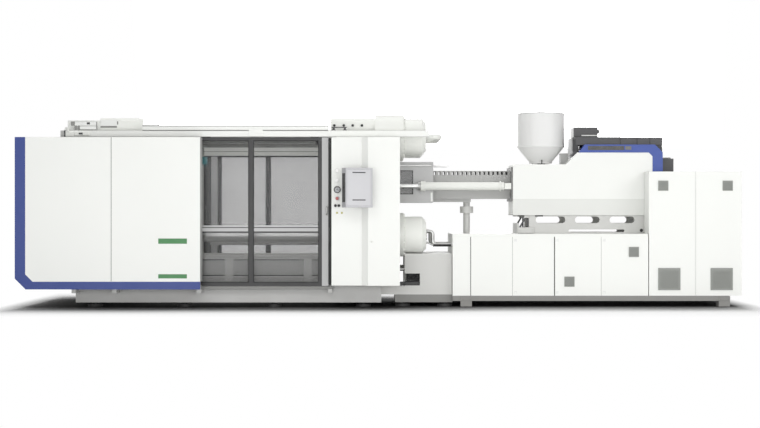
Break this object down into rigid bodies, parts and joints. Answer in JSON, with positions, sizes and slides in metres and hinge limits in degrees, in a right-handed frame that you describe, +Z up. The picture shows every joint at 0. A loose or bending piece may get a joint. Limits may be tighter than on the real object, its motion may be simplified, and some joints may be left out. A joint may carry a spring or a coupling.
{
  "type": "injection moulding machine",
  "caption": "Large two-platen hydraulic injection moulding machine with guarded clamp, control column, hopper and cabinets, standing on the floor.",
  "frame": {"origin": "middle of the machine's footprint, on the floor", "axes": "+X along the machine from the clamp end to the electric cabinet, -Y towards the operator, +Z up"},
  "size_m": [10.5, 3.4996, 2.898],
  "materials": {
    "frame_grey": "satin paint",
    "panel_white": "satin paint",
    "trim_blue": "satin paint",
    "platen_grey": "satin paint",
    "dark_grey": "satin paint",
    "light_grey": "satin paint",
    "chrome_bar": "polished",
    "steel": "machined",
    "cast": "cast and painted",
    "tinted_glass": "tinted",
    "rubber_black": "matte",
    "plastic_black": "matte",
    "plastic_white": "gloss",
    "plastic_red": "gloss",
    "plastic_yellow": "gloss",
    "stainless": "brushed"
  },
  "bodies": {
    "machine": {"clamp_base": "frame_grey", "levelling_pads": "cast", "fixed_platen": "platen_grey", "pressure_cylinders": "light_grey", "cylinder_caps": "light_grey", "tie_bars": "chrome_bar", "travel_cylinders": "steel", "guard_frame": "frame_grey", "guard_panels": "panel_white", "corner_trim": "trim_blue", "door_rails": "panel_white", "door_seals": "rubber_black", "control_column": "panel_white", "pressure_gauge": "plastic_white", "centre_tank": "frame_grey", "skids": "frame_grey", "transfer_pipes": "steel", "injection_base": "light_grey", "electric_cabinet": "light_grey", "hydraulic_unit": "dark_grey", "drive_rack": "dark_grey", "injection_bed": "frame_grey", "guide_rods": "chrome_bar", "water_manifold": "steel"},
    "platen": {"moving_platen": "platen_grey", "lock_housings": "panel_white", "travel_rods": "chrome_bar"},
    "ejector": {"ejector_plate": "steel"},
    "nuts_front": {"split_nuts_front": "steel"},
    "nuts_rear": {"split_nuts_rear": "steel"},
    "front_door": {"front_door_frame": "dark_grey", "front_door_glass": "tinted_glass"},
    "rear_door": {"rear_door_frame": "dark_grey", "rear_door_glass": "tinted_glass"},
    "screen": {"operator_panel": "light_grey"},
    "stop_button": {"emergency_stop": "plastic_red"},
    "button_white_upper": {"white_button_upper": "plastic_white"},
    "button_white_lower": {"white_button_lower": "plastic_white"},
    "button_yellow_left": {"yellow_button_left": "plastic_yellow"},
    "button_yellow_right": {"yellow_button_right": "plastic_yellow"},
    "needle": {"gauge_needle": "plastic_black"},
    "purge": {"purge_guard": "light_grey"},
    "carriage": {"injection_housing": "cast", "barrel": "steel", "barrel_shroud": "stainless", "carriage_cover": "panel_white", "carriage_jacks": "light_grey", "hood": "trim_blue", "drive_unit": "dark_grey", "hopper": "stainless"},
    "ram": {"injection_piston": "steel"},
    "feed_screw": {"screw": "steel"},
    "lid": {"hopper_lid": "stainless"},
    "gate": {"hopper_gate": "plastic_black"},
    "cabinet_door_1": {"base_door_1": "panel_white"},
    "cabinet_door_2": {"base_door_2": "panel_white"},
    "cabinet_door_3": {"base_door_3": "panel_white"},
    "cabinet_door_4": {"base_door_4": "panel_white"},
    "electric_left": {"electric_door_left": "panel_white"},
    "electric_right": {"electric_door_right": "panel_white"}
  },
  "joints": [
    {"name": "platen_travel", "type": "slide", "parent": "machine", "child": "platen", "axis": [1, 0, 0], "range_m": [0, 1.7]},
    {"name": "ejector_stroke", "type": "slide", "parent": "platen", "child": "ejector", "axis": [1, 0, 0], "range_m": [0, 0.17]},
    {"name": "nut_close_front", "type": "slide", "parent": "platen", "child": "nuts_front", "axis": [0, 1, 0], "range_m": [0, 0.045]},
    {"name": "nut_close_rear", "type": "slide", "parent": "platen", "child": "nuts_rear", "axis": [0, 1, 0], "range_m": [-0.045, 0]},
    {"name": "front_door_slide", "type": "slide", "parent": "machine", "child": "front_door", "axis": [-1, 0, 0], "range_m": [0, 1.75]},
    {"name": "rear_door_slide", "type": "slide", "parent": "machine", "child": "rear_door", "axis": [-1, 0, 0], "range_m": [0, 1.75]},
    {"name": "screen_turn", "type": "hinge", "parent": "machine", "child": "screen", "pos_m": [-0.395, -1.48, 1.7225], "axis": [0, 0, 1], "range_deg": [-55, 0]},
    {"name": "stop_press", "type": "slide", "parent": "machine", "child": "stop_button", "axis": [0, 1, 0], "range_m": [0, 0.005], "stiffness_N_per_m": 800},
    {"name": "white_upper_press", "type": "slide", "parent": "machine", "child": "button_white_upper", "axis": [0, 1, 0], "range_m": [0, 0.005], "stiffness_N_per_m": 800},
    {"name": "white_lower_press", "type": "slide", "parent": "machine", "child": "button_white_lower", "axis": [0, 1, 0], "range_m": [0, 0.005], "stiffness_N_per_m": 800},
    {"name": "yellow_left_press", "type": "slide", "parent": "machine", "child": "button_yellow_left", "axis": [0, 1, 0], "range_m": [0, 0.005], "stiffness_N_per_m": 800},
    {"name": "yellow_right_press", "type": "slide", "parent": "machine", "child": "button_yellow_right", "axis": [0, 1, 0], "range_m": [0, 0.005], "stiffness_N_per_m": 800},
    {"name": "needle_turn", "type": "hinge", "parent": "machine", "child": "needle", "pos_m": [-0.645, -1.395, 1.699], "axis": [0, 1, 0], "range_deg": [-120, 120]},
    {"name": "purge_slide", "type": "slide", "parent": "machine", "child": "purge", "axis": [1, 0, 0], "range_m": [0, 0.22]},
    {"name": "carriage_travel", "type": "slide", "parent": "machine", "child": "carriage", "axis": [-1, 0, 0], "range_m": [-0.05, 0.55]},
    {"name": "ram_stroke", "type": "slide", "parent": "carriage", "child": "ram", "axis": [1, 0, 0], "range_m": [0, 0.45]},
    {"name": "screw_turn", "type": "hinge", "parent": "ram", "child": "feed_screw", "pos_m": [2, 0, 1.765], "axis": [1, 0, 0], "continuous": true},
    {"name": "lid_turn", "type": "hinge", "parent": "carriage", "child": "lid", "pos_m": [2.395, 0.378, 2.862], "axis": [-1, 0, 0], "range_deg": [0, 95]},
    {"name": "gate_slide", "type": "slide", "parent": "carriage", "child": "gate", "axis": [0, -1, 0], "range_m": [0, 0.13]},
    {"name": "door_1_turn", "type": "hinge", "parent": "machine", "child": "cabinet_door_1", "pos_m": [1.29, -0.9, 0.587], "axis": [0, 0, 1], "range_deg": [-85, 0]},
    {"name": "door_2_turn", "type": "hinge", "parent": "machine", "child": "cabinet_door_2", "pos_m": [2.508, -0.9, 0.587], "axis": [0, 0, 1], "range_deg": [0, 85]},
    {"name": "door_3_turn", "type": "hinge", "parent": "machine", "child": "cabinet_door_3", "pos_m": [2.512, -0.9, 0.587], "axis": [0, 0, 1], "range_deg": [-85, 0]},
    {"name": "door_4_turn", "type": "hinge", "parent": "machine", "child": "cabinet_door_4", "pos_m": [3.884, -0.9, 0.587], "axis": [0, 0, 1], "range_deg": [0, 85]},
    {"name": "electric_left_turn", "type": "hinge", "parent": "machine", "child": "electric_left", "pos_m": [3.896, -0.9, 1.063], "axis": [0, 0, 1], "range_deg": [-85, 0]},
    {"name": "electric_right_turn", "type": "hinge", "parent": "machine", "child": "electric_right", "pos_m": [5.25, -0.9, 1.063], "axis": [0, 0, 1], "range_deg": [0, 85]}
  ],
  "couplings": [
    {"joint": "nut_close_rear", "follows": "nut_close_front", "ratio": -1}
  ]
}
